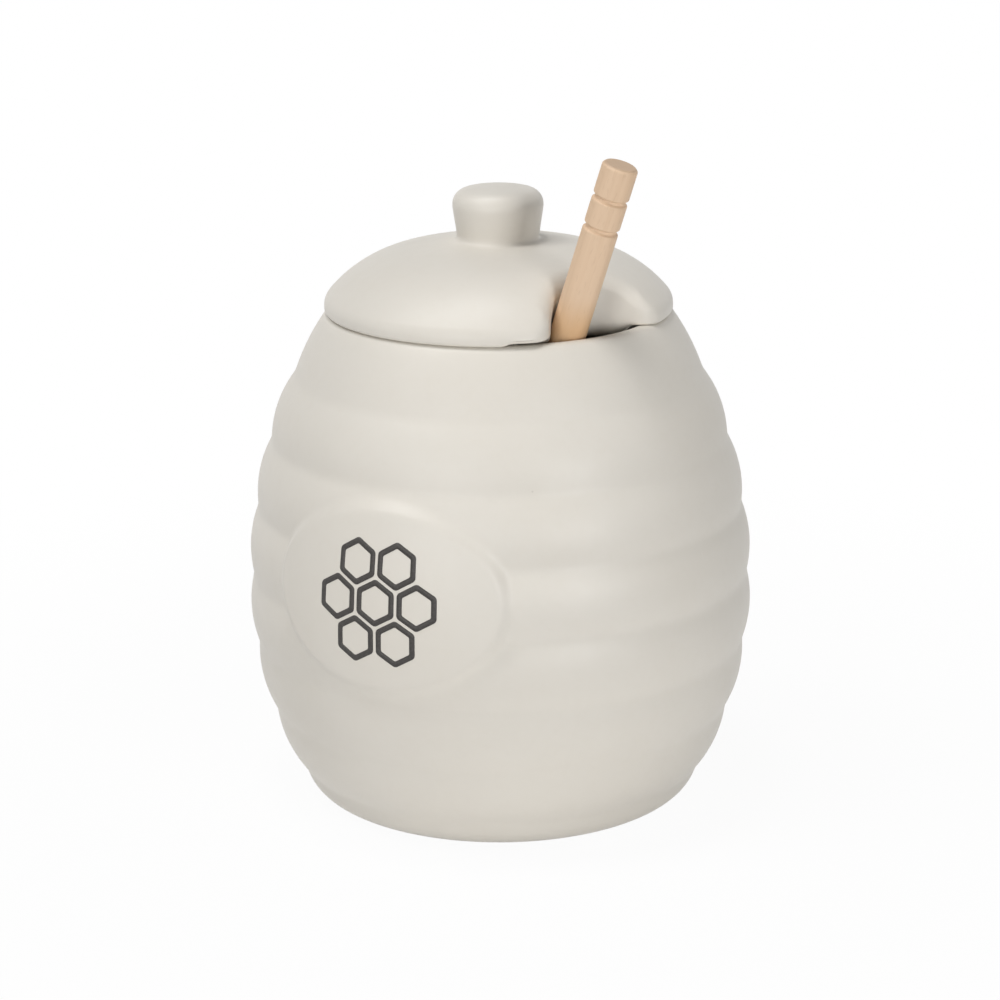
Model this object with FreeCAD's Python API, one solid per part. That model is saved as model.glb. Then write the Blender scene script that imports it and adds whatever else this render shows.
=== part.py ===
# Honey pot: a ribbed stoneware pot with an oval plaque, a domed lid with a notch, and a turned dipper.
# Millimetres. The origin is the centre of the foot on the pot's axis, +Z is up and the plaque faces -Y.
import FreeCAD, Part
import math
import os

V = FreeCAD.Vector
ORIGIN = V(0, 0, 0)
UP = V(0, 0, 1)
SAME = 1e-4

# Pot wall: its grooves lie on two half ellipses, one above the belly and one below it
belly_radius = 58.9
belly_height = 50.7
upper_half_height = 89.7
lower_half_height = 75.5
groove_count = 7
lowest_groove = 7.2
highest_groove_above_belly = 51.43
rib_bulge = 1.4
groove_round = 2.4
wall = 4.6

# Pot foot
foot_inset = 7.16
foot_bulge = 1.8
foot_bevel = 1.2
floor_thickness = 6.0
floor_round = 7.0

# Pot shoulder and mouth
shoulder_rise = 15.4
shoulder_bulge = 0.7
mouth_radius = 36.8
rim_width = 3.4
rim_outer_round = 2.2
rim_bevel = 1.0
throat = 6.5
throat_round = 3.0

# Oval plaque on the front of the wall
plaque_width = 60.2
plaque_height = 45.6
plaque_above_belly = 12.0
plaque_rise = 2.6
plaque_bevel = 1.2

# Lid
lid_overhang = 0.6
lid_wall = 4.6
lid_lip = 4.2
lid_bevel = 0.6
dome_rise = 19.5
dome_edge_rise = 3.85
dome_edge_slope = 61.6
dome_shoulder_width = 4.8
ceiling_slopes = 2
flange_depth = 6.0
flange_wall = 3.2
flange_bevel = 0.8
lid_play = 0.6

# Knob on the lid
knob_radius = 10.6
knob_neck = 9.7
knob_height = 8.8
knob_crown = 0.3
knob_round = 3.4
knob_skirt = 1.6

# Notch in the lid for the dipper's handle
notch_azimuth = 65.0
notch_outset = 3.0
notch_radius = 15.4
notch_corner = 5.5
notch_gap = 0.4
notch_wall = 4.0
notch_lift = 0.7
notch_relief = 9.0

# Dipper, turned in one piece and leaning towards +X
dipper_length = 156.2
dipper_azimuth = 56.2
dipper_lean = 18.2
dipper_gap = 0.3
handle_radius = 4.1
handle_end_bevel = 0.8
handle_groove_width = 1.8
handle_groove_depth = 0.6
first_groove_from_end = 8.0
handle_groove_pitch = 7.1
head_radius = 11.0
head_length = 36.0
head_end_radius = 7.5
head_core_radius = 6.0
head_taper = 6.0
head_disc_count = 6
head_gap = 2.6

# Heights and radii that follow from the sizes above
rim_radius = mouth_radius + rim_width
lid_radius = rim_radius + lid_overhang
flange_radius = mouth_radius - lid_play
dome_drop = dome_rise - dome_edge_rise
dome_radius = (lid_radius ** 2 + dome_drop ** 2) / (2 * dome_drop)
lean = math.radians(dipper_lean)
handle_half_section = handle_radius / math.cos(lean)


# Outlines in the XZ plane, turned solids, and edges to round or bevel

def line(start, end):
    return Part.LineSegment(start, end).toShape()


def bulged(start, end, bulge):
    """Arc from start up to end that swells outwards from the straight line between them."""
    along = end - start
    outwards = V(along.z, 0, -along.x).normalize()
    middle = (start + end) * 0.5 + outwards * bulge
    return Part.Arc(start, middle, end).toShape()


def sloped_arc(centre, radius, first, last):
    """Arc in the XZ plane between two slopes, each the angle from straight up."""
    points = []
    for slope in (first, (first + last) / 2, last):
        points.append(centre + V(math.sin(slope), 0, math.cos(slope)) * radius)
    return Part.Arc(*points).toShape()


def turned(edges):
    """Solid of revolution of a closed outline in the XZ plane."""
    face = Part.Face(Part.Wire(Part.__sortEdges__(edges)))
    return Part.Solid(face.revolve(ORIGIN, UP, 360))


def circles(shape, point):
    """Circular edges of a turned shape that pass a point of its outline."""
    found = []
    for edge in shape.Edges:
        if not edge.Degenerated and isinstance(edge.Curve, Part.Circle):
            off_radius = abs(edge.Curve.Radius - point.x)
            off_height = abs(edge.Curve.Center.z - point.z)
            if max(off_radius, off_height) < SAME:
                found.append(edge)
    return found


def is_upright(edge):
    return not edge.Degenerated and isinstance(edge.Curve, Part.Line) and edge.BoundBox.ZLength > SAME


def lowest_face(shape):
    return min(shape.Faces, key=lambda face: face.CenterOfMass.z)


# Pot

def groove_line(height):
    """Point of the groove line at a height, in the XZ plane."""
    half_height = upper_half_height if height > belly_height else lower_half_height
    share = (height - belly_height) / half_height
    return V(belly_radius * math.sqrt(1 - share ** 2), 0, height)


def next_groove(start, pitch):
    """Groove one pitch above another, straight across the rib between them."""
    low, high = start.z, start.z + pitch
    while high - low > SAME / 10:
        middle = (low + high) / 2
        if start.distanceToPoint(groove_line(middle)) < pitch:
            low = middle
        else:
            high = middle
    return groove_line(high)


def groove_points():
    """Grooves from the lowest to the highest one, with the one pitch that spaces them evenly."""
    highest_groove = belly_height + highest_groove_above_belly
    low = (highest_groove - lowest_groove) / (groove_count - 1)
    high = low * 1.2
    while high - low > SAME / 10:
        pitch = (low + high) / 2
        points = [groove_line(lowest_groove)]
        while len(points) < groove_count:
            points.append(next_groove(points[-1], pitch))
        if points[-1].z < highest_groove:
            low = pitch
        else:
            high = pitch
    return points


grooves = groove_points()
foot_radius = grooves[0].x - foot_inset
rim_height = grooves[-1].z + shoulder_rise


def ribbed_body():
    """Outside of the pot as a solid block: foot, ribs and shoulder up to the rim."""
    foot = V(foot_radius, 0, 0)
    rim = V(rim_radius, 0, rim_height)
    top = V(0, 0, rim_height)
    edges = [line(ORIGIN, foot), bulged(foot, grooves[0], foot_bulge)]
    for below, above in zip(grooves, grooves[1:]):
        edges.append(bulged(below, above, rib_bulge))
    edges += [bulged(grooves[-1], rim, shoulder_bulge), line(rim, top), line(top, ORIGIN)]
    body = turned(edges)
    valleys = []
    for groove in grooves:
        valleys += circles(body, groove)
    body = body.makeFillet(groove_round, valleys)
    body = body.makeChamfer(foot_bevel, circles(body, foot))
    return body.makeFillet(rim_outer_round, circles(body, rim))


def plaque_block():
    """Oval block whose face runs smoothly just outside the ribs, with its front edge bevelled."""
    belly = V(0, 0, belly_height)
    side = V(belly_radius + plaque_rise, 0, belly_height)
    top = V(0, 0, belly_height + upper_half_height + plaque_rise)
    bottom = V(0, 0, belly_height - lower_half_height - plaque_rise)
    edges = [line(bottom, top)]
    for pole in (top, bottom):
        curve = Part.Ellipse(pole, side, belly)
        ends = sorted((curve.parameter(pole), curve.parameter(side)))
        edges.append(curve.toShape(*ends))
    egg = turned(edges)
    centre = belly + V(0, 0, plaque_above_belly)
    width_end = centre + V(plaque_width / 2, 0, 0)
    height_end = centre + V(0, 0, plaque_height / 2)
    oval = Part.Face(Part.Wire(Part.Ellipse(width_end, height_end, centre).toShape()))
    block = oval.extrude(V(0, -2 * side.x, 0)).common(egg)
    front = [edge for edge in block.Edges if isinstance(edge.Curve, Part.BSplineCurve)]
    return block.makeChamfer(plaque_bevel, front)


def cavity():
    """Inside of the pot: a flat floor, a wall that follows the grooves smoothly, and a straight throat."""
    corner = groove_line(floor_thickness) - V(wall, 0, 0)
    lining = [groove - V(wall, 0, 0) for groove in grooves if groove.z > floor_thickness + floor_round]
    throat_end = V(mouth_radius, 0, rim_height - throat)
    rim = V(mouth_radius, 0, rim_height)
    inside = Part.BSplineCurve()
    inside.interpolate(Points=[corner] + lining + [throat_end])
    floor_centre = V(0, 0, floor_thickness)
    top = V(0, 0, rim_height)
    edges = [line(floor_centre, corner), inside.toShape(), line(throat_end, rim)]
    edges += [line(rim, top), line(top, floor_centre)]
    space = turned(edges)
    space = space.makeFillet(floor_round, circles(space, corner))
    return space.makeFillet(throat_round, circles(space, throat_end))


def make_pot():
    body = ribbed_body().fuse(plaque_block()).cut(cavity()).removeSplitter()
    return body.makeChamfer(rim_bevel, circles(body, V(mouth_radius, 0, rim_height)))


# Dipper

def handle_axis(height):
    """Point where the handle's axis passes a height: it stands just inside the mouth at the rim."""
    out = mouth_radius - handle_half_section - dipper_gap
    azimuth = math.radians(dipper_azimuth)
    at_rim = V(out * math.sin(azimuth), -out * math.cos(azimuth), rim_height)
    return at_rim + V(math.tan(lean), 0, 1) * (height - rim_height)


def head_radius_at(height):
    """Radius of the head's egg-shaped envelope at a height above its end."""
    share = 2 * height / head_length - 1
    return head_radius - (head_radius - head_end_radius) * share ** 2


def head_outline():
    """Outline of the head from the centre of its end upwards: a row of discs on a thin core."""
    disc = (head_length - head_gap * (head_disc_count - 1)) / head_disc_count
    edges = []
    for number in range(head_disc_count):
        base = number * (disc + head_gap)
        start, end = [V(head_radius_at(height), 0, height) for height in (base, base + disc)]
        core_below = V(head_core_radius if number else 0, 0, base)
        core_above = V(head_core_radius, 0, base + disc)
        edges += [line(core_below, start), line(start, end), line(end, core_above)]
        if number < head_disc_count - 1:
            edges.append(line(core_above, core_above + V(0, 0, head_gap)))
    return edges


def make_dipper():
    edges = head_outline()
    core_top = V(head_core_radius, 0, head_length)
    here = V(handle_radius, 0, head_length + head_taper)
    edges.append(line(core_top, here))
    for from_end in (first_groove_from_end + handle_groove_pitch, first_groove_from_end):
        bottom = V(handle_radius - handle_groove_depth, 0, dipper_length - from_end)
        start = V(handle_radius, 0, bottom.z - handle_groove_width / 2)
        end = V(handle_radius, 0, bottom.z + handle_groove_width / 2)
        edges += [line(here, start), line(start, bottom), line(bottom, end)]
        here = end
    rim = V(handle_radius, 0, dipper_length)
    top = V(0, 0, dipper_length)
    edges += [line(here, rim), line(rim, top), line(top, ORIGIN)]
    dipper = turned(edges)
    dipper = dipper.makeChamfer(handle_end_bevel, circles(dipper, rim))
    dipper.rotate(ORIGIN, V(0, 1, 0), dipper_lean)
    end_height = floor_thickness + dipper_gap + head_end_radius * math.sin(lean)
    dipper.translate(handle_axis(end_height))
    return dipper


# Lid

dome_centre = V(0, 0, rim_height + dome_rise - dome_radius)


def dome_height(radius, inset=0):
    """Height of the lid's crown, or of a surface inset from it, at a distance from the axis."""
    return dome_centre.z + math.sqrt((dome_radius - inset) ** 2 - radius ** 2)


def notch_centre(height):
    azimuth = math.radians(notch_azimuth)
    out = lid_radius + notch_outset
    return V(out * math.sin(azimuth), -out * math.cos(azimuth), height)


def lid_plan():
    """Outline of the lid from above: a disc with a round notch and rounded notch corners."""
    axis = V(0, 0, rim_height)
    notch = notch_centre(rim_height)
    to_notch = (notch - axis).normalize()
    sideways = UP.cross(to_notch)
    reach = lid_radius - notch_corner
    spread = notch_radius + notch_corner
    out = axis.distanceToPoint(notch)
    turn = math.acos((out ** 2 + reach ** 2 - spread ** 2) / (2 * out * reach))
    rim_ends, notch_ends, corners = [], [], []
    for side in (-1, 1):
        outwards = to_notch * math.cos(turn) + sideways * (side * math.sin(turn))
        corner = axis + outwards * reach
        inwards = (notch - corner).normalize()
        rim_end = axis + outwards * lid_radius
        notch_end = corner + inwards * notch_corner
        middle = corner + (outwards + inwards).normalize() * notch_corner
        corners.append(Part.Arc(rim_end, middle, notch_end).toShape())
        rim_ends.append(rim_end)
        notch_ends.append(notch_end)
    rim = Part.Arc(rim_ends[0], axis - to_notch * lid_radius, rim_ends[1]).toShape()
    scallop = Part.Arc(notch_ends[0], notch - to_notch * notch_radius, notch_ends[1]).toShape()
    return Part.Face(Part.Wire(Part.__sortEdges__([rim, scallop] + corners)))


def dome_outline():
    """Half section of the solid dome with its knob, from the top of the knob down to below the seat."""
    top = V(0, 0, rim_height + dome_rise + knob_height)
    crown_radius = (knob_radius ** 2 + knob_crown ** 2) / (2 * knob_crown)
    knob_edge = V(knob_radius, 0, top.z - knob_crown)
    neck = V(knob_neck, 0, dome_height(knob_neck) + knob_skirt)
    skirt_radius = knob_neck + knob_skirt
    skirt = V(skirt_radius, 0, dome_height(skirt_radius))
    join_radius = lid_radius - dome_shoulder_width
    outer_radius = lid_radius + lid_bevel
    join_slope = math.asin(join_radius / dome_radius)
    outer_slope = math.radians(dome_edge_slope)
    bend_radius = (outer_radius - join_radius) / (math.sin(outer_slope) - math.sin(join_slope))
    to_join = V(math.sin(join_slope), 0, math.cos(join_slope))
    bend_centre = dome_centre + to_join * (dome_radius - bend_radius)
    bend_end = bend_centre + V(math.sin(outer_slope), 0, math.cos(outer_slope)) * bend_radius
    base = V(0, 0, rim_height - dome_rise)
    base_edge = V(outer_radius, 0, base.z)
    edges = [sloped_arc(top - UP * crown_radius, crown_radius, 0, math.asin(knob_radius / crown_radius))]
    edges += [line(knob_edge, neck), line(neck, skirt)]
    edges.append(sloped_arc(dome_centre, dome_radius, math.asin(skirt_radius / dome_radius), join_slope))
    edges.append(sloped_arc(bend_centre, bend_radius, join_slope, outer_slope))
    edges += [line(bend_end, base_edge), line(base_edge, base), line(base, top)]
    return edges, knob_edge


def domed_cap():
    """Solid dome with its knob and the notch, its lower edge bevelled and its lip rolled over."""
    edges, knob_edge = dome_outline()
    dome = turned(edges)
    dome = dome.makeFillet(knob_round, circles(dome, knob_edge))
    block = lid_plan().extrude(UP * 2 * dome_rise)
    cap = block.makeChamfer(lid_bevel, lowest_face(block).Edges).common(dome)
    above_bevel = rim_height + lid_bevel + SAME
    top = []
    for face in cap.Faces:
        if isinstance(face.Surface, Part.Cylinder):
            top += [e for e in face.Edges if e.BoundBox.ZMin > above_bevel and not is_upright(e)]
    return cap.makeFillet(lid_lip, top)


def lid_hollow(depth):
    """Space under the dome, out to the flange's radius and down to a depth below the seat."""
    bottom = V(0, 0, rim_height - depth)
    here = V(flange_radius, 0, bottom.z)
    edges = [line(bottom, here)]
    for step in range(ceiling_slopes + 1):
        radius = flange_radius * (1 - step / (ceiling_slopes + 1))
        corner = V(radius, 0, dome_height(radius, lid_wall))
        edges.append(line(here, corner))
        here = corner
    apex = V(0, 0, here.z)
    return turned(edges + [line(here, apex), line(apex, bottom)])


def flange():
    """Locating ring under the lid: it follows the mouth and turns inwards along the notch."""
    height = flange_depth + dome_rise
    bottom = V(0, 0, rim_height - flange_depth)
    notch = Part.makeCylinder(notch_radius, height, notch_centre(bottom.z))
    notch_back = Part.makeCylinder(notch_radius + notch_wall, height, notch_centre(bottom.z))
    inside = Part.makeCylinder(flange_radius - flange_wall, height, bottom).cut(notch_back)
    ring = lid_hollow(flange_depth).cut(notch).cut(inside)
    return ring.makeChamfer(flange_bevel, lowest_face(ring).Edges)


def handle_channel():
    """Room for the leaning handle where it passes the notch's wall."""
    low = handle_axis(rim_height - 2 * flange_depth)
    high = handle_axis(rim_height + dome_rise)
    return Part.makeCylinder(handle_radius + notch_gap, low.distanceToPoint(high), low, high - low)


def make_lid():
    relief = Part.makeCylinder(notch_radius + notch_relief, notch_lift, notch_centre(rim_height))
    lid = domed_cap().cut(relief).cut(lid_hollow(lid_wall))
    return lid.fuse(flange()).cut(handle_channel()).removeSplitter()


os.makedirs("parts", exist_ok=True)
for name, shape in (("pot", make_pot()), ("lid", make_lid()), ("dipper", make_dipper())):
    shape.exportStep(f"parts/{name}.step")
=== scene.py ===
# Honey pot: a ribbed stoneware pot with an oval plaque, a domed lid with a notch, and a turned beech dipper.
# Metres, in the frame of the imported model: +Z is up, the plaque faces -Y and the dipper leans towards +X.
import math

import bmesh
import bpy
import numpy as np
from mathutils import Matrix, Vector


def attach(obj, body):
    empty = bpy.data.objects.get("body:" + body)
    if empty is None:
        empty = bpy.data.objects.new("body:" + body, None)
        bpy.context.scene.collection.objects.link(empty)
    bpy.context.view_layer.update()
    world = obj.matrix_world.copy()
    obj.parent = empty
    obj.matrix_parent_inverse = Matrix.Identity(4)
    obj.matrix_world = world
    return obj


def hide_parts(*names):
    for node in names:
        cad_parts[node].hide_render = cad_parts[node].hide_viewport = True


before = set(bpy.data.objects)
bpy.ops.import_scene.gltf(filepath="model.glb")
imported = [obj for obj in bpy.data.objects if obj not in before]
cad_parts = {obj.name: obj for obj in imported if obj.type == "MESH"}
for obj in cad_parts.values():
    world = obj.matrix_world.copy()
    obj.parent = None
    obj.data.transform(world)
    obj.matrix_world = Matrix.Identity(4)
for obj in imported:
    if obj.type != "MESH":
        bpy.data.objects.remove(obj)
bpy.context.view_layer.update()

# Glaze of the pot and the lid: a matt, warm off-white stoneware glaze that the kiln has clouded faintly.
# It is finely mottled and pitted, and carries a few small, faint iron specks.
glaze_shine = 0.42


def fill(node, values):
    """Sets the sockets of a node to plain values, or links them to wires."""
    for name, value in values.items():
        if isinstance(value, Wire):
            value.tree.links.new(value.socket, node.inputs[name])
        else:
            node.inputs[name].default_value = value


class Wire:
    """A socket in a node tree. Sums on wires are plain expressions, and any other node comes from add."""

    def __init__(self, tree, socket=None):
        self.tree = tree
        self.socket = socket

    def add(self, kind, settings=None, inputs=None):
        """Adds a node, with its settings first and then the values or wires of its sockets."""
        node = self.tree.nodes.new(kind)
        for name, value in (settings or {}).items():
            setattr(node, name, value)
        fill(node, inputs or {})
        return Wire(self.tree, node.outputs[0] if node.outputs else None)

    def out(self, name):
        """Another output of the node that this wire leaves."""
        return Wire(self.tree, self.socket.node.outputs[name])

    def along(self, axis):
        """One of the three parts of a vector."""
        return self.add("ShaderNodeSeparateXYZ", None, {"Vector": self}).out(axis)

    def math(self, operation, *others):
        """This wire through a Math node, with what else the operation takes."""
        return self.add("ShaderNodeMath", {"operation": operation}, dict(enumerate((self, *others))))

    def mixed(self, factor, first, second):
        """Colour between two others. A Mix node takes colours in sockets 6 and 7, and output 2 gives one."""
        mix = self.add("ShaderNodeMix", {"data_type": "RGBA"}, {0: factor, 6: first, 7: second})
        return Wire(self.tree, mix.socket.node.outputs[2])

    def smooth(self, low, high):
        """0 below low, 1 above high and an easy curve between them."""
        ends = {"Value": self, "From Min": low, "From Max": high}
        return self.add("ShaderNodeMapRange", {"interpolation_type": "SMOOTHSTEP"}, ends)

    def __add__(self, other):
        return self.math("ADD", other)

    def __sub__(self, other):
        return self.math("SUBTRACT", other)

    def __rsub__(self, other):
        return self.add("ShaderNodeMath", {"operation": "SUBTRACT"}, {0: other, 1: self})

    def __mul__(self, other):
        return self.math("MULTIPLY", other)

    def __truediv__(self, other):
        return self.math("DIVIDE", other)

    def __gt__(self, other):
        return self.math("GREATER_THAN", other)

    def __lt__(self, other):
        return self.math("LESS_THAN", other)

    __radd__ = __add__
    __rmul__ = __mul__


def new_material(name):
    """A new material, its shader node and a loose wire to build its tree from."""
    material = bpy.data.materials.new(name)
    material.use_nodes = True
    return material, material.node_tree.nodes["Principled BSDF"], Wire(material.node_tree)


def noise(start, place, scale, detail=2.0):
    return start.add("ShaderNodeTexNoise", None, {"Vector": place, "Scale": scale, "Detail": detail})


def stoneware_glaze():
    pale = (0.735, 0.700, 0.636, 1)
    warm = (0.700, 0.657, 0.583, 1)
    iron = (0.16, 0.12, 0.09, 1)
    cloud_scale = 28.0
    cloud_strength = 0.4
    mottle_scale = 420.0
    mottle_strength = 0.15
    mottle_roughness = 0.10
    least_roughness = 0.40
    speck_scale = 95.0
    speck_rarity = 0.86
    speck_strength = 0.15
    largest_speck = 0.055
    pit_scale = 900.0
    pit_share = 0.6
    ripple_scale = 160.0
    skin_strength = 0.05
    skin_depth = 0.0006
    material, shader, start = new_material("stoneware_glaze")
    place = start.add("ShaderNodeTexCoord").out("Object")
    clouds = noise(start, place, cloud_scale, 3.0)
    mottle = noise(start, place, mottle_scale)
    specks = start.add("ShaderNodeTexVoronoi", None, {"Vector": place, "Scale": speck_scale})
    speck_size = specks.out("Color").along("X").smooth(speck_rarity, 1.0) * largest_speck
    speck = specks.out("Distance") < speck_size
    warmth = clouds.smooth(0.35, 0.75) * cloud_strength + mottle.smooth(0.4, 0.8) * mottle_strength
    colour = start.mixed(speck * speck_strength, start.mixed(warmth, pale, warm), iron)
    skin = noise(start, place, pit_scale) * pit_share + noise(start, place, ripple_scale) * (1 - pit_share)
    relief = {"Strength": skin_strength, "Distance": skin_depth, "Height": skin}
    roughness = least_roughness + mottle * mottle_roughness
    fill(shader, {"Base Color": colour, "Roughness": roughness, "Specular IOR Level": glaze_shine})
    fill(shader, {"Normal": start.add("ShaderNodeBump", None, relief)})
    return material


glaze = stoneware_glaze()

# Pot: the body of a beehive honey pot, slip-cast in one piece with its plaque and fired with the matt glaze.
# Ribs of one pitch run round it and die into the raised oval plaque on the front. It is a hollow shell with
# a flat foot and a short straight throat, and the glaze softens every edge.
belly_radius = 0.0589
belly_height = 0.0507
upper_half_height = 0.0897
lower_half_height = 0.0755
groove_count = 7
lowest_groove = 0.0072
rib_pitch = 0.01635
rib_bulge = 0.0014
foot_radius = 0.041
foot_bulge = 0.0018
shoulder_rise = 0.0154
shoulder_bulge = 0.0007
mouth_radius = 0.0368
rim_radius = 0.0402
throat = 0.0065
pot_wall = 0.0046
floor_height = 0.006
glaze_softness = 0.0008
plaque_width = 0.0602
plaque_height = 0.0456
plaque_above_belly = 0.0120
plaque_rise = 0.0024
plaque_edge = 0.0034
outline_step = 0.00025
reaches_kept = 3
under_row_step = 14
outside_row_step = 3
lining_row_step = 12
pot_columns = 384
front_crowding = 0.55
merge_distance = 1e-6
halvings = 32


def halved(low, high, too_low):
    """The value between low and high where too_low turns false, found by halving the stretch many times."""
    for _ in range(halvings):
        middle = (low + high) / 2
        if too_low(middle):
            low = middle
        else:
            high = middle
    return high


def groove_line(height):
    """Point of the groove line at a height, as a radius and a height."""
    half_height = upper_half_height if height > belly_height else lower_half_height
    share = (height - belly_height) / half_height
    return np.array((belly_radius * math.sqrt(1 - share ** 2), height))


def groove_points():
    """The grooves from the foot up, each one rib pitch from the last, straight across the rib."""
    points = [groove_line(lowest_groove)]
    while len(points) < groove_count:
        last = points[-1]

        def too_near(height):
            return np.linalg.norm(groove_line(height) - last) < rib_pitch

        points.append(groove_line(halved(last[1], last[1] + rib_pitch, too_near)))
    return points


rim_height = groove_points()[-1][1] + shoulder_rise


def stretch(start, end, bulge=0.0, step=outline_step):
    """Evenly spaced points from start to just before end, on a shallow arc to the right of the way."""
    start = np.asarray(start, float)
    along = np.asarray(end, float) - start
    length = np.linalg.norm(along)
    right = np.array((along[1], -along[0])) / length
    share = np.arange(0, 1, 1 / max(1, round(length / step)))[:, None]
    return start + share * along + right * (4 * bulge * share * (1 - share))


def softened(points, reach, step=outline_step):
    """The outline with its corners eased over a reach by a bell-shaped mean. Its ends stay."""
    count = round(reaches_kept * reach / step)
    weights = np.exp(-0.5 * (np.arange(-count, count + 1) * step / reach) ** 2)
    weights /= weights.sum()
    padded = np.pad(points, ((count, count), (0, 0)), mode="reflect", reflect_type="odd")
    return np.stack([np.convolve(column, weights, "valid") for column in padded.T], axis=1)


def pot_outline():
    """Half section of the pot, from the middle of the foot up the ribs, over the rim and down inside."""
    grooves = groove_points()
    foot = (foot_radius, 0)
    rim = (rim_radius, rim_height)
    mouth = (mouth_radius, rim_height)
    lining = [(mouth_radius, rim_height - throat)]
    lining += [groove - (pot_wall, 0) for groove in reversed(grooves[1:])]
    lining += [groove_line(floor_height) - (2 * pot_wall, 0), (0, floor_height)]
    under = [stretch((0, 0), foot)]
    outside = [stretch(foot, grooves[0], foot_bulge)]
    outside += [stretch(below, above, rib_bulge) for below, above in zip(grooves, grooves[1:])]
    outside += [stretch(grooves[-1], rim, shoulder_bulge), stretch(rim, mouth), stretch(mouth, lining[0])]
    inside = [stretch(above, below) for above, below in zip(lining, lining[1:])]
    outline = softened(np.concatenate(under + outside + inside + [[lining[-1]]]), glaze_softness)
    outline[[0, -1], 0] = 0
    rows = []
    first = 0
    for group, step in ((under, under_row_step), (outside, outside_row_step), (inside, lining_row_step)):
        length = sum(map(len, group))
        rows += range(first, first + length, step)
        first += length
    return outline[rows + [first]]


def plaque_face(given, height):
    """Radius of the plaque's face at a height: the groove line's, moved out by the plaque's rise."""
    rise = given.out("Plaque Rise")
    lower = given.out("Lower Half Height")
    above_belly = height - given.out("Belly Height")
    reach = rise + lower + (above_belly > 0) * (given.out("Upper Half Height") - lower)
    share = above_belly / reach
    return (given.out("Belly Radius") + rise) * (1 - share * share).math("SQRT")


def raise_plaque(given, radius, angle, height):
    """The wall's radius with the oval plaque raised on its front, its edge eased into the ribs."""
    half_width = given.out("Plaque Width") / 2
    half_height = given.out("Plaque Height") / 2
    face = plaque_face(given, height)
    across = radius * angle.math("SINE") / half_width
    up = (height - given.out("Plaque Middle")) / half_height
    spread = across * across / (half_width * half_width) + up * up / (half_height * half_height)
    outside_by = (across * across + up * up - 1) / (2 * spread.math("SQRT"))
    on_plaque = 1 - outside_by.smooth(0 - given.out("Plaque Edge"), 0.0)
    on_front = angle.math("COSINE") > 0
    on_outside = (face - radius) < given.out("Wall")
    return radius + on_plaque * on_front * on_outside * (face - radius)


def new_tree(name, inputs, output):
    """An empty tree of geometry nodes with named inputs and one output, and the wire of its inputs."""
    tree = bpy.data.node_groups.new(name, "GeometryNodeTree")
    for label, kind in inputs.items():
        tree.interface.new_socket(label, in_out="INPUT", socket_type="NodeSocket" + kind)
    tree.interface.new_socket(output, in_out="OUTPUT", socket_type="NodeSocketGeometry")
    return tree, Wire(tree).add("NodeGroupInput")


def placed_around(shape, radius, angle, height):
    """The points of a shape, each set at a radius and a height, turned about Z by an angle from -Y."""
    place = {"X": radius * angle.math("SINE"), "Y": 0 - radius * angle.math("COSINE"), "Z": height}
    moved = {"Geometry": shape, "Position": shape.add("ShaderNodeCombineXYZ", None, place)}
    return shape.add("GeometryNodeSetPosition", None, moved)


def turning_tree(name, sizes, reshape):
    """Nodes that turn an outline in the XZ plane about Z, with columns crowded towards -Y where asked."""
    inputs = {"Outline": "Geometry", "Columns": "Int", "Crowding": "Float", "Finish": "Material"}
    tree, given = new_tree(name, {**inputs, **dict.fromkeys(sizes, "Float")}, "Turned")
    outline = given.out("Outline")
    rows = given.add("GeometryNodeAttributeDomainSize", {"component": "MESH"}, {"Geometry": outline})
    counts = {"Size X": 1.0, "Size Y": 1.0, "Vertices X": given.out("Columns"), "Vertices Y": rows}
    grid = given.add("GeometryNodeMeshGrid", None, counts)
    place = given.add("GeometryNodeInputPosition")
    row = given.add("GeometryNodeInputIndex").math("MODULO", rows)
    sample = {"Geometry": outline, "Value": place, "Index": row}
    point = given.add("GeometryNodeSampleIndex", {"data_type": "FLOAT_VECTOR"}, sample)
    turn = place.along("X") * math.tau
    angle = turn - given.out("Crowding") * turn.math("SINE")
    radius = point.along("X")
    height = point.along("Z")
    if reshape:
        radius = reshape(given, radius, angle, height)
    shape = placed_around(grid, radius, angle, height)
    shape = given.add("GeometryNodeMergeByDistance", None, {"Geometry": shape, "Distance": merge_distance})
    shape = given.add("GeometryNodeSetShadeSmooth", None, {"Geometry": shape})
    shape = given.add("GeometryNodeRealizeInstances", None, {"Geometry": shape})
    shape = given.add("GeometryNodeSetMaterial", None, {"Geometry": shape, "Material": given.out("Finish")})
    given.add("NodeGroupOutput", None, {"Turned": shape})
    return tree


def plain_piece(name, mesh, tree=None, values=None):
    """An object for a mesh, after a tree of nodes has shaped it where one is given."""
    piece = bpy.data.objects.new(name, mesh)
    bpy.context.scene.collection.objects.link(piece)
    if tree:
        modifier = piece.modifiers.new(tree.name, "NODES")
        modifier.node_group = tree
        for socket in tree.interface.items_tree:
            if socket.name in values:
                modifier[socket.identifier] = values[socket.name]
        shaped = piece.evaluated_get(bpy.context.evaluated_depsgraph_get())
        piece.data = bpy.data.meshes.new_from_object(shaped)
        piece.modifiers.clear()
    return piece


def turned_piece(name, outline, finish, columns, crowding=0.0, sizes=None, reshape=None):
    """A piece turned about Z from its outline, reshaped by a rule with its own sizes where one is given."""
    sizes = sizes or {}
    mesh = bpy.data.meshes.new(name + "_outline")
    mesh.from_pydata([(radius, 0, height) for radius, height in outline], [], [])
    values = {"Columns": columns, "Crowding": crowding, "Finish": finish, **sizes}
    return plain_piece(name, mesh, turning_tree(name + "_turning", sizes, reshape), values)


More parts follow.
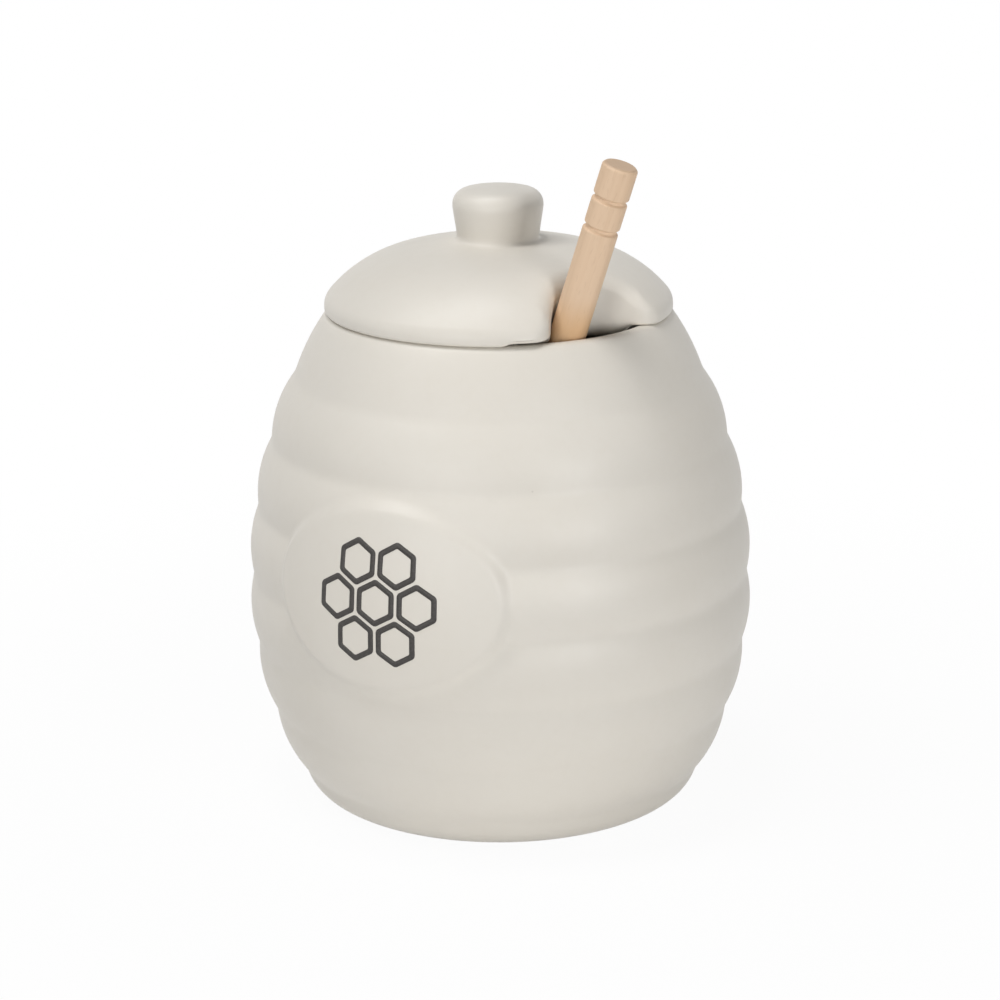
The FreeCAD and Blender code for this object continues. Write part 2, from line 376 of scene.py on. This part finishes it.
face_sizes = {"Belly Radius": belly_radius, "Belly Height": belly_height, "Plaque Rise": plaque_rise,
              "Upper Half Height": upper_half_height, "Lower Half Height": lower_half_height,
              "Plaque Middle": belly_height + plaque_above_belly}
plaque_sizes = {**face_sizes, "Plaque Width": plaque_width, "Plaque Height": plaque_height,
                "Plaque Edge": plaque_edge, "Wall": pot_wall}
pot = turned_piece("pot_body", pot_outline(), glaze, pot_columns, front_crowding, plaque_sizes, raise_plaque)
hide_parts("pot")
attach(pot, "pot")

# Print: a plain honeycomb of seven cells on the plaque, a thin film of charcoal underglaze colour that was
# laid on as a transfer and fired with the glaze. Its cells are rings with rounded corners that follow the
# plaque's curve.
cell_pitch = 0.0102
cell_gap = 0.0007
cell_line = 0.0013
cell_corner = 0.0012
cell_sides = 6
cells_round_middle = 6
corner_steps = 6
side_steps = 7
film_height = 0.00004
film_depth = 0.0002


def at_angle(angle, distance):
    """Point of a plane at an angle and a distance from its middle."""
    return Vector((math.cos(angle), math.sin(angle))) * distance


def cell_loop(reach, corner):
    """Points of a hexagon with rounded corners, whose flat sides lie at a reach from its middle."""
    half_turn = math.pi / cell_sides
    spoke = (reach - corner) / math.cos(half_turn)
    half_side = (reach - corner) * math.tan(half_turn)
    points = []
    for side in range(cell_sides):
        turn = half_turn * (2 * side + 1)
        for bend in np.linspace(-half_turn, half_turn, corner_steps + 1):
            points.append(at_angle(turn, spoke) + at_angle(turn + bend, corner))
        away = turn + half_turn
        for along in np.linspace(-half_side, half_side, side_steps + 1)[1:-1]:
            points.append(at_angle(away, reach) + at_angle(away + math.pi / 2, along))
    return points


def faces_between(lines, size, lines_close, points_close, first=0):
    """Faces between lines of points that lie side by side, for lines or points that may close in a ring."""
    faces = []
    for line in range(lines if lines_close else lines - 1):
        here = first + line * size
        beside = first + (line + 1) % lines * size
        for point in range(size if points_close else size - 1):
            after = (point + 1) % size
            faces.append((here + point, here + after, beside + after, beside + point))
    return faces


def closed_mesh(name, points, faces):
    """A mesh with doubled points joined, every face turned outwards and smooth shading."""
    mesh = bpy.data.meshes.new(name)
    mesh.from_pydata(points, [], faces)
    work = bmesh.new()
    work.from_mesh(mesh)
    bmesh.ops.remove_doubles(work, verts=work.verts, dist=merge_distance)
    bmesh.ops.recalc_face_normals(work, faces=work.faces)
    work.to_mesh(mesh)
    work.free()
    mesh.shade_smooth()
    return mesh


def cell_ring():
    """Mesh of one cell's ring, flat in the XZ plane and closed, with its face towards -Y."""
    reach = (cell_pitch - cell_gap) / 2
    outer = cell_loop(reach, cell_corner)
    inner = cell_loop(reach - cell_line, cell_corner / 2)
    loops = ((outer, -film_height), (inner, -film_height), (inner, film_depth), (outer, film_depth))
    points = [(x, y, z) for loop, y in loops for x, z in loop]
    faces = faces_between(len(loops), len(outer), lines_close=True, points_close=True)
    return closed_mesh("cell_ring", points, faces)


def honeycomb_tree():
    """Nodes that set a ring on the middle and on the points round it, and bend them onto the plaque."""
    inputs = {"Ring": "Geometry", "Cells": "Int", "Pitch": "Float", "Ink": "Material"}
    tree, given = new_tree("honeycomb", {**inputs, **dict.fromkeys(face_sizes, "Float")}, "Print")
    circle = {"Vertices": given.out("Cells"), "Radius": given.out("Pitch")}
    around = given.add("GeometryNodeMeshCircle", None, circle)
    upright = given.add("GeometryNodeTransform", None, {"Geometry": around, "Rotation": (math.pi / 2, 0, 0)})
    middle = given.add("GeometryNodeMeshLine", None, {"Count": 1})
    join = given.add("GeometryNodeJoinGeometry")
    for points in (middle, upright):
        fill(join.socket.node, {"Geometry": points})
    rings = given.add("GeometryNodeInstanceOnPoints", None, {"Points": join, "Instance": given.out("Ring")})
    shape = given.add("GeometryNodeRealizeInstances", None, {"Geometry": rings})
    place = given.add("GeometryNodeInputPosition")
    angle = place.along("X") / (given.out("Belly Radius") + given.out("Plaque Rise"))
    height = place.along("Z") + given.out("Plaque Middle")
    shape = placed_around(shape, plaque_face(given, height) - place.along("Y"), angle, height)
    shape = given.add("GeometryNodeSetMaterial", None, {"Geometry": shape, "Material": given.out("Ink")})
    given.add("NodeGroupOutput", None, {"Print": shape})
    return tree


def charcoal_ink():
    black = (0.040, 0.036, 0.033, 1)
    grey = (0.060, 0.054, 0.050, 1)
    grain_scale = 2600.0
    material, shader, start = new_material("charcoal_ink")
    place = start.add("ShaderNodeTexCoord").out("Object")
    grain = noise(start, place, grain_scale)
    colour = start.mixed(grain.smooth(0.35, 0.7), black, grey)
    fill(shader, {"Base Color": colour, "Roughness": 0.5, "Specular IOR Level": glaze_shine})
    return material


print_values = {"Cells": cells_round_middle, "Pitch": cell_pitch, "Ink": charcoal_ink(), **face_sizes}
plaque_print = plain_piece("plaque_print", cell_ring(), honeycomb_tree(), print_values)
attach(plaque_print, "pot")

# Dipper: a honey dipper turned from one beech stick and left bare. Its grooved head stands loose in the pot,
# and its handle, with two turned grooves near the end, leans out through the lid's notch. Up to a little
# above the rim its wood is painted darker and warmer: painted shade, with a painted warm bounce from the
# glaze.
dipper_length = 0.1562
dipper_azimuth = math.radians(56.2)
dipper_lean = math.radians(18.2)
dipper_gap = 0.0003
handle_radius = 0.0041
handle_groove_width = 0.0014
handle_groove_floor = 0.00056
handle_groove_depth = 0.0006
handle_end_bevel = 0.0006
first_groove_from_end = 0.008
handle_groove_pitch = 0.0071
head_radius = 0.011
head_length = 0.036
head_end_radius = 0.0075
head_core_radius = 0.006
head_taper = 0.006
head_disc_count = 6
head_gap = 0.0026
turning_softness = 0.00014
turning_step = 0.0001
straight_row_step = 12
least_bend = 2e-6
dipper_columns = 64
# Painted shade low on the handle: full from just above the rim down, fading out higher up.
full_shade_above_rim = 0.0015
last_shade_above_rim = 0.0105
end_grain_depth = 0.0004
end_grain_full = 0.0001
handle_out = mouth_radius - handle_radius / math.cos(dipper_lean) - dipper_gap
handle_at_rim = Vector((handle_out * math.sin(dipper_azimuth), -handle_out * math.cos(dipper_azimuth)))
head_height = floor_height + dipper_gap + head_end_radius * math.sin(dipper_lean)
head_x = handle_at_rim.x + math.tan(dipper_lean) * (head_height - rim_height)
head_end = Vector((head_x, handle_at_rim.y, head_height))


def wood_grain(start, in_stick, scale, detail):
    """Noise drawn out along the stick by a scale for each direction."""
    drawn = start.add("ShaderNodeMapping", None, {"Vector": in_stick, "Scale": scale})
    return noise(start, drawn, 1.0, detail)


def beech():
    pale = (0.760, 0.560, 0.390, 1)
    brown = (0.640, 0.430, 0.265, 1)
    fleck = (0.470, 0.290, 0.170, 1)
    shaded_brown = (0.670, 0.420, 0.215, 1)
    end_brown = (0.550, 0.395, 0.270, 1)
    streak_scale = (900, 900, 28)
    streak_strength = 0.3
    streak_roughness = 0.15
    least_roughness = 0.5
    band_scale = (170, 60, 3)
    band_strength = 0.3
    dash_scale = (2600, 2600, 420)
    dash_strength = 0.12
    dash_hollow = 0.5
    painted_shade_strength = 0.75
    end_strength = 0.8
    grain_strength = 0.12
    grain_depth = 0.0003
    wood_shine = 0.35
    handle_end = head_end.x * math.sin(dipper_lean) + head_end.z * math.cos(dipper_lean) + dipper_length
    material, shader, start = new_material("beech")
    place = start.add("ShaderNodeTexCoord").out("Object")
    in_stick = start.add("ShaderNodeMapping", None, {"Vector": place, "Rotation": (0, -dipper_lean, 0)})
    streaks = wood_grain(start, in_stick, streak_scale, 4.0)
    bands = wood_grain(start, in_stick, band_scale, 1.0)
    dash = wood_grain(start, in_stick, dash_scale, 0.0).smooth(0.66, 0.74)
    # Painted shade: the wood near and below the rim gets a darker, warmer colour where the notch shades it.
    above_rim = place.along("Z") - rim_height
    painted_shade = 1 - above_rim.smooth(full_shade_above_rim, last_shade_above_rim)
    end_grain = in_stick.along("Z").smooth(handle_end - end_grain_depth, handle_end - end_grain_full)
    browning = streaks.smooth(0.35, 0.75) * streak_strength + bands.smooth(0.4, 0.65) * band_strength
    tone = start.mixed(browning, pale, brown)
    tone = start.mixed(painted_shade * painted_shade_strength, tone, shaded_brown)
    tone = start.mixed(end_grain * end_strength, tone, end_brown)
    colour = start.mixed(dash * dash_strength, tone, fleck)
    surface = streaks - dash * dash_hollow
    relief = {"Strength": grain_strength, "Distance": grain_depth, "Height": surface}
    roughness = least_roughness + streaks * streak_roughness
    fill(shader, {"Base Color": colour, "Roughness": roughness, "Specular IOR Level": wood_shine})
    fill(shader, {"Normal": start.add("ShaderNodeBump", None, relief)})
    return material


def head_radius_at(height):
    """Radius of the head's egg-shaped envelope at a height above its end."""
    share = 2 * height / head_length - 1
    return head_radius - (head_radius - head_end_radius) * share ** 2


def dipper_outline():
    """Half section of the dipper, from the middle of its head's end to the middle of its handle's end."""
    disc = (head_length - head_gap * (head_disc_count - 1)) / head_disc_count
    corners = [(0, 0)]
    for number in range(head_disc_count):
        base = number * (disc + head_gap)
        corners += [(head_radius_at(base), base), (head_radius_at(base + disc), base + disc)]
        corners += [(head_core_radius, base + disc), (head_core_radius, base + disc + head_gap)]
    corners[-1] = (handle_radius, head_length + head_taper)
    groove_radius = handle_radius - handle_groove_depth
    for from_end in (first_groove_from_end + handle_groove_pitch, first_groove_from_end):
        middle = dipper_length - from_end
        corners.append((handle_radius, middle - handle_groove_width / 2))
        corners.append((groove_radius, middle - handle_groove_floor / 2))
        corners.append((groove_radius, middle + handle_groove_floor / 2))
        corners.append((handle_radius, middle + handle_groove_width / 2))
    corners.append((handle_radius, dipper_length - handle_end_bevel))
    corners += [(handle_radius - handle_end_bevel, dipper_length), (0, dipper_length)]
    legs = [stretch(start, end, step=turning_step) for start, end in zip(corners, corners[1:])]
    outline = softened(np.concatenate(legs + [[corners[-1]]]), turning_softness, turning_step)
    outline[[0, -1], 0] = 0
    bend = np.linalg.norm(np.diff(outline, 2, axis=0), axis=1)
    rows = np.arange(1, len(outline) - 1)
    kept = rows[(bend > least_bend) | (rows % straight_row_step == 0)]
    return outline[np.concatenate(([0], kept, [len(outline) - 1]))]


dipper = turned_piece("dipper_stick", dipper_outline(), beech(), dipper_columns)
dipper.data.transform(Matrix.Translation(head_end) @ Matrix.Rotation(dipper_lean, 4, "Y"))
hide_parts("dipper")
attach(dipper, "dipper")

# Lid: a domed stoneware lid with its knob, cast in one piece and glazed like the pot. It lies loose on the
# rim, kept in place by a ring under it. A round notch with a rolled lip lets the handle out: its wall turns
# down into the mouth, hollowed where the handle leans, and its front corner stands a bit clear of the rim.
lid_overhang = 0.0006
lid_wall = 0.0046
lid_lip = 0.0042
lid_edge = 0.0008
dome_rise = 0.0169
dome_radius = 0.1003
dome_shoulder = 0.0309
dome_shoulder_width = 0.0172
knob_radius = 0.0107
knob_neck = 0.0094
knob_height = 0.0121
knob_crown = 0.0006
knob_round = 0.0036
knob_softness = 0.0009
knob_skirt = 0.006
knob_skirt_bow = 0.0001
knob_row_step = 3
notch_azimuth = math.radians(65)
notch_outset = 0.003
notch_radius = 0.0154
notch_corner = 0.0055
notch_lift = 0.0007
notch_relief = 0.0062
notch_relief_fade = 0.002
notch_wall = 0.0040
notch_wall_flare = 0.0014
notch_wall_depth = 0.0030
notch_wall_edge = 0.0036
notch_wall_fade = 0.004
handle_clearance = 0.0045
handle_hollow_ease = 0.0012
flange_play = 0.0006
flange_depth = 0.006
flange_wall = 0.0032
flange_root = 0.0062
flange_gap = math.radians(31)
flange_softness = 0.0005
flange_row_step = 2
flange_steps = 160
lid_spacing = 0.0006
crown_rows = 46
side_rows = 8
edge_rows = 6
under_rows = 36
lid_radius = rim_radius + lid_overhang
flange_radius = mouth_radius - flange_play
dome_centre = rim_height + dome_rise - dome_radius
notch_angle = notch_azimuth - math.pi / 2
notch_out = lid_radius + notch_outset
corner_out = lid_radius - notch_corner
corner_spread = notch_radius + notch_corner
corner_cosine = (notch_out ** 2 + corner_out ** 2 - corner_spread ** 2) / (2 * notch_out * corner_out)
corner_turn = math.acos(corner_cosine)
corner_lean = math.asin(corner_out * math.sin(corner_turn) / corner_spread)
notch_middle = at_angle(notch_angle, notch_out)
near_corner = at_angle(notch_angle - corner_turn, corner_out)
far_corner = at_angle(notch_angle + corner_turn, corner_out)


def eased(value, low, high):
    """0 below low, 1 above high and an easy curve between them."""
    share = min(1.0, max(0.0, (value - low) / (high - low)))
    return share * share * (3 - 2 * share)


def dome_top(radius):
    """Height and steepness of the dome at a radius: a wide crown, then a tighter shoulder."""
    join = lid_radius - dome_shoulder_width
    if radius <= join:
        slope = math.asin(radius / dome_radius)
        return dome_centre + dome_radius * math.cos(slope), math.tan(slope)
    join_slope = math.asin(join / dome_radius)
    bend = dome_radius - dome_shoulder
    slope = math.asin((radius - bend * math.sin(join_slope)) / dome_shoulder)
    return dome_centre + bend * math.cos(join_slope) + dome_shoulder * math.cos(slope), math.tan(slope)


def edge_near(point):
    """Distance in plan from a point of the lid to its edge, and the direction that leads there."""
    for corner in (near_corner, far_corner):
        spoke = point - corner
        sideways = notch_middle - corner
        turn = corner.cross(sideways)
        if corner.cross(spoke) * turn > 0 and spoke.cross(sideways) * turn > 0:
            return notch_corner - spoke.length, spoke.normalized()
    to_notch = notch_middle - point
    if to_notch.length - notch_radius < lid_radius - point.length:
        return to_notch.length - notch_radius, to_notch.normalized()
    return lid_radius - point.length, point.normalized()


def lip_roll(edge, away):
    """How far the lip's round turns from its side until it meets the dome, and the height of its centre."""

    def inner_edge(roll):
        return edge - away * (lid_lip * (1 - math.cos(roll)))

    def short_of_dome(roll):
        inner = inner_edge(roll)
        steep = dome_top(inner.length)[1]
        return steep * away.dot(inner.normalized()) * math.tan(roll) <= 1

    roll = halved(0.0, math.pi / 2, short_of_dome)
    return roll, dome_top(inner_edge(roll).length)[0] - lid_lip * math.sin(roll)


def lid_top(point):
    """Height of the lid's top: the dome, and the rolled lip along the rim and the notch."""
    inset, away = edge_near(point)
    if inset < lid_lip:
        roll, centre = lip_roll(point + away * inset, away)
        across = 1 - max(0.0, inset) / lid_lip
        if across > math.cos(roll):
            return centre + lid_lip * math.sqrt(1 - across ** 2)
    return dome_top(point.length)[0]


def in_mouth(point):
    """1 for a point of the lid over the mouth, 0 for one over the rim, eased between them."""
    return 1 - eased(point.length, flange_radius - notch_wall_fade, flange_radius)


def lid_under(point):
    """Height of the lid's underside: its land on the rim, its hollow and the foot of the notch's wall."""
    beside_notch = (point - notch_middle).length - notch_radius
    beside_corner = (point - near_corner).length
    off_corner = eased(beside_corner, notch_relief, notch_relief + notch_relief_fade)
    land = rim_height + notch_lift * (1 - off_corner)
    if point.length > flange_radius:
        return land
    hollow = dome_top(point.length)[0] - lid_wall
    wall_foot = land + (rim_height - notch_wall_depth - land) * in_mouth(point)
    off_wall = eased(beside_notch, notch_wall, notch_wall + notch_wall_flare)
    return wall_foot + (hollow - wall_foot) * off_wall


def clear_of_handle(point, height):
    """A point of the notch's wall, moved back in an eased hollow where the leaning handle would touch it."""
    handle = handle_at_rim + Vector((math.tan(dipper_lean) * (height - rim_height), 0))
    spoke = point - handle
    distance = math.hypot(spoke.x * math.cos(dipper_lean), spoke.y)
    near = handle_clearance + handle_hollow_ease - distance
    if near <= 0:
        return point
    move = near - handle_hollow_ease
    if near < 2 * handle_hollow_ease:
        move = near ** 2 / (4 * handle_hollow_ease)
    return handle + spoke * (1 + move / distance)


def arc_points(centre, radius, first, last, outwards):
    """Points of an arc seen from above, with the direction in plan that leads out of the lid at each."""
    count = max(2, round(abs(last - first) * radius / lid_spacing))
    angles = [first + (last - first) * step / count for step in range(count)]
    return [(centre + at_angle(angle, radius), at_angle(angle, outwards)) for angle in angles]


def lid_plan():
    """Edge of the lid from above: the rim, a corner, the notch and the other corner, anticlockwise."""
    rim_start = notch_angle + corner_turn
    rim_end = notch_angle - corner_turn + math.tau
    inwards = notch_angle + math.pi
    edge = arc_points(Vector((0, 0)), lid_radius, rim_start, rim_end, 1)
    edge += arc_points(near_corner, notch_corner, notch_angle - corner_turn, notch_angle + corner_lean, 1)
    edge += arc_points(notch_middle, notch_radius, inwards + corner_lean, inwards - corner_lean, -1)
    edge += arc_points(far_corner, notch_corner, notch_angle - corner_lean, notch_angle + corner_turn, 1)
    return edge


def turn_arc(centre, radius, first, last):
    """Outline points of an arc, evenly spaced, from one angle to another in degrees."""
    count = max(2, round(abs(math.radians(last - first)) * radius / outline_step))
    angles = np.radians(np.linspace(first, last, count, endpoint=False))
    return np.stack([centre[0] + radius * np.cos(angles), centre[1] + radius * np.sin(angles)], axis=1)


def knob_outline():
    """Half section of the knob, from the middle of its top round its edge and down to the dome."""
    top = rim_height + dome_rise + knob_height
    edge_middle = (knob_radius - knob_round, top - knob_crown - knob_round)
    root = (knob_neck, dome_top(knob_neck)[0])
    skirt = (knob_neck + knob_skirt, dome_top(knob_neck + knob_skirt)[0])
    parts = [stretch((0, top), (edge_middle[0], top - knob_crown), -knob_crown / 4)]
    parts += [turn_arc(edge_middle, knob_round, 90, 0)]
    parts += [stretch((knob_radius, edge_middle[1]), root), stretch(root, skirt, -knob_skirt_bow), [skirt]]
    outline = softened(np.concatenate(parts), knob_softness)
    outline[0, 0] = 0
    return outline[::knob_row_step]


def lid_column(edge, away, knob):
    """One line over the lid, in plan and height: knob, crown, lip, side, lower edge and underside."""
    ray = edge.normalized()
    column = [(ray * radius, height) for radius, height in knob]
    span = edge.length - knob[-1][0]
    for share in np.linspace(1, 0, crown_rows)[1:]:
        point = edge - ray * (span * share ** 2)
        column.append((point, lid_top(point)))
    side_top = column[-1][1]
    bottom = lid_under(edge)
    rounding = lid_edge + (notch_wall_edge - lid_edge) * in_mouth(edge)
    for height in np.linspace(side_top, bottom + rounding, side_rows)[1:]:
        column.append((clear_of_handle(edge, height), height))
    foot = clear_of_handle(edge, bottom)
    for angle in np.linspace(0, math.pi / 2, edge_rows)[1:]:
        inset = rounding * (1 - math.cos(angle))
        column.append((foot - away * inset, bottom + rounding * (1 - math.sin(angle))))
    start = foot - away * rounding
    for share in np.linspace(0, 1, under_rows)[1:]:
        point = start * (1 - share)
        column.append((point, lid_under(point)))
    return column


def lid_shell():
    """Points and faces of the lid: columns round its edge, joined side by side."""
    knob = knob_outline()
    columns = [lid_column(edge, away, knob) for edge, away in lid_plan()]
    points = [(plan.x, plan.y, height) for column in columns for plan, height in column]
    return points, faces_between(len(columns), len(columns[0]), lines_close=True, points_close=False)


def flange_ring(first):
    """Points and faces of the ring under the lid, an open bar of rounded section bent round the mouth.
    Its points are numbered from first on."""
    inner = flange_radius - flange_wall
    corners = [(inner, flange_root), (inner, -flange_depth)]
    corners += [(flange_radius, -flange_depth), (flange_radius, flange_root)]
    legs = [stretch(start, end) for start, end in zip(corners, corners[1:])]
    section = softened(np.concatenate(legs + [corners[-1:]]), flange_softness)[::flange_row_step]
    start = notch_angle + flange_gap
    turn = math.tau - 2 * flange_gap
    points = []
    for step in range(flange_steps + 1):
        angle = start + turn * step / flange_steps
        points += [(*at_angle(angle, radius), rim_height + height) for radius, height in section]
    size = len(section)
    last = first + flange_steps * size
    faces = faces_between(flange_steps + 1, size, lines_close=False, points_close=True, first=first)
    faces.append(tuple(range(first + size - 1, first - 1, -1)))
    faces.append(tuple(range(last, last + size)))
    return points, faces


shell_points, shell_faces = lid_shell()
ring_points, ring_faces = flange_ring(len(shell_points))
lid_mesh = closed_mesh("lid_shell", shell_points + ring_points, shell_faces + ring_faces)
lid_mesh.materials.append(glaze)
lid = plain_piece("lid_dome", lid_mesh)
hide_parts("lid")
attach(lid, "lid")

# Stage: a wide, plain, pale floor that fades into a white room. Close to the pot it keeps a little of the
# pot's shadow, and further out it is white.
floor_half = 4.0
floor_grey = 0.9
near_white = 0.95
near_reach = 0.05
far_reach = 0.30


def where_seen(start):
    """1 for rays that show a surface, straight, mirrored or through glass, and 0 for rays that light it."""
    ray = start.add("ShaderNodeLightPath")
    indirect = ray.out("Is Glossy Ray").math("MAXIMUM", ray.out("Is Transmission Ray"))
    return ray.out("Is Camera Ray").math("MAXIMUM", indirect)


def floor_white():
    material, shader, start = new_material("floor_white")
    fill(shader, {"Base Color": (floor_grey, floor_grey, floor_grey, 1), "Roughness": 1.0})
    fill(shader, {"Specular IOR Level": 0.0})
    glow = start.add("ShaderNodeEmission", None, {"Color": (1, 1, 1, 1), "Strength": 1.0})
    place = start.add("ShaderNodeTexCoord").out("Object")
    from_pot = start.add("ShaderNodeVectorMath", {"operation": "LENGTH"}, {0: place}).out("Value")
    white = near_white + (1 - near_white) * from_pot.smooth(near_reach, far_reach)
    matt = Wire(start.tree, shader.outputs[0])
    mix = start.add("ShaderNodeMixShader", None, {0: where_seen(start) * white, 1: matt, 2: glow})
    fill(start.tree.nodes["Material Output"], {"Surface": mix})
    return material


floor_corners = [(-floor_half, -floor_half, 0), (floor_half, -floor_half, 0)]
floor_corners += [(floor_half, floor_half, 0), (-floor_half, floor_half, 0)]
floor_mesh = bpy.data.meshes.new("floor")
floor_mesh.from_pydata(floor_corners, [], [(0, 1, 2, 3)])
floor_mesh.materials.append(floor_white())
floor = plain_piece("floor", floor_mesh)

# Light: soft boxes low on the left and on the right in front, a wider one high on the left, and one overhead
# that gives the glaze its highlights. The room lights the pot a little, and is white where it is seen.
room_light = 0.17
world = bpy.data.worlds.new("white_room")
world.use_nodes = True
bpy.context.scene.world = world
glow_of_room = room_light + where_seen(Wire(world.node_tree)) * (1 - room_light)
fill(world.node_tree.nodes["Background"], {"Color": (1, 1, 1, 1), "Strength": glow_of_room})


def soft_lamp(name, place, size, power):
    """Square area lamp that faces the pot's belly."""
    lamp = bpy.data.lights.new(name, "AREA")
    lamp.size = size
    lamp.energy = power
    holder = bpy.data.objects.new(name, lamp)
    holder.location = place
    to_pot = Vector((0, 0, belly_height)) - Vector(place)
    holder.rotation_euler = to_pot.to_track_quat("-Z", "Y").to_euler()
    bpy.context.scene.collection.objects.link(holder)


soft_lamp("low_left_lamp", place=(0.03, -1.10, 0.17), size=0.3, power=2.4)
soft_lamp("low_right_lamp", place=(0.97, -0.51, 0.19), size=0.3, power=3.8)
soft_lamp("high_left_lamp", place=(-0.37, -0.40, 1.04), size=0.35, power=3.6)
soft_lamp("top_lamp", place=(-0.08, -0.14, 1.17), size=0.25, power=3.4)

# Camera: a long lens about 0.7 m away, a little above the pot and to the right of the plaque, so that the
# plaque, the notch and the dipper all show.
camera_place = Vector((0.3091, -0.5963, 0.2677))
camera_aim = Vector((0, 0, 0.07056))
camera_roll = math.radians(-0.4)
camera_data = bpy.data.cameras.new("camera")
camera_data.sensor_width = 36.0
camera_data.lens = 105.5
camera = bpy.data.objects.new("camera", camera_data)
facing = (camera_aim - camera_place).to_track_quat("-Z", "Y").to_matrix().to_4x4()
camera.matrix_world = Matrix.Translation(camera_place) @ facing @ Matrix.Rotation(camera_roll, 4, "Z")
bpy.context.scene.collection.objects.link(camera)
bpy.context.scene.camera = camera
bpy.context.scene.view_settings.view_transform = "Standard"
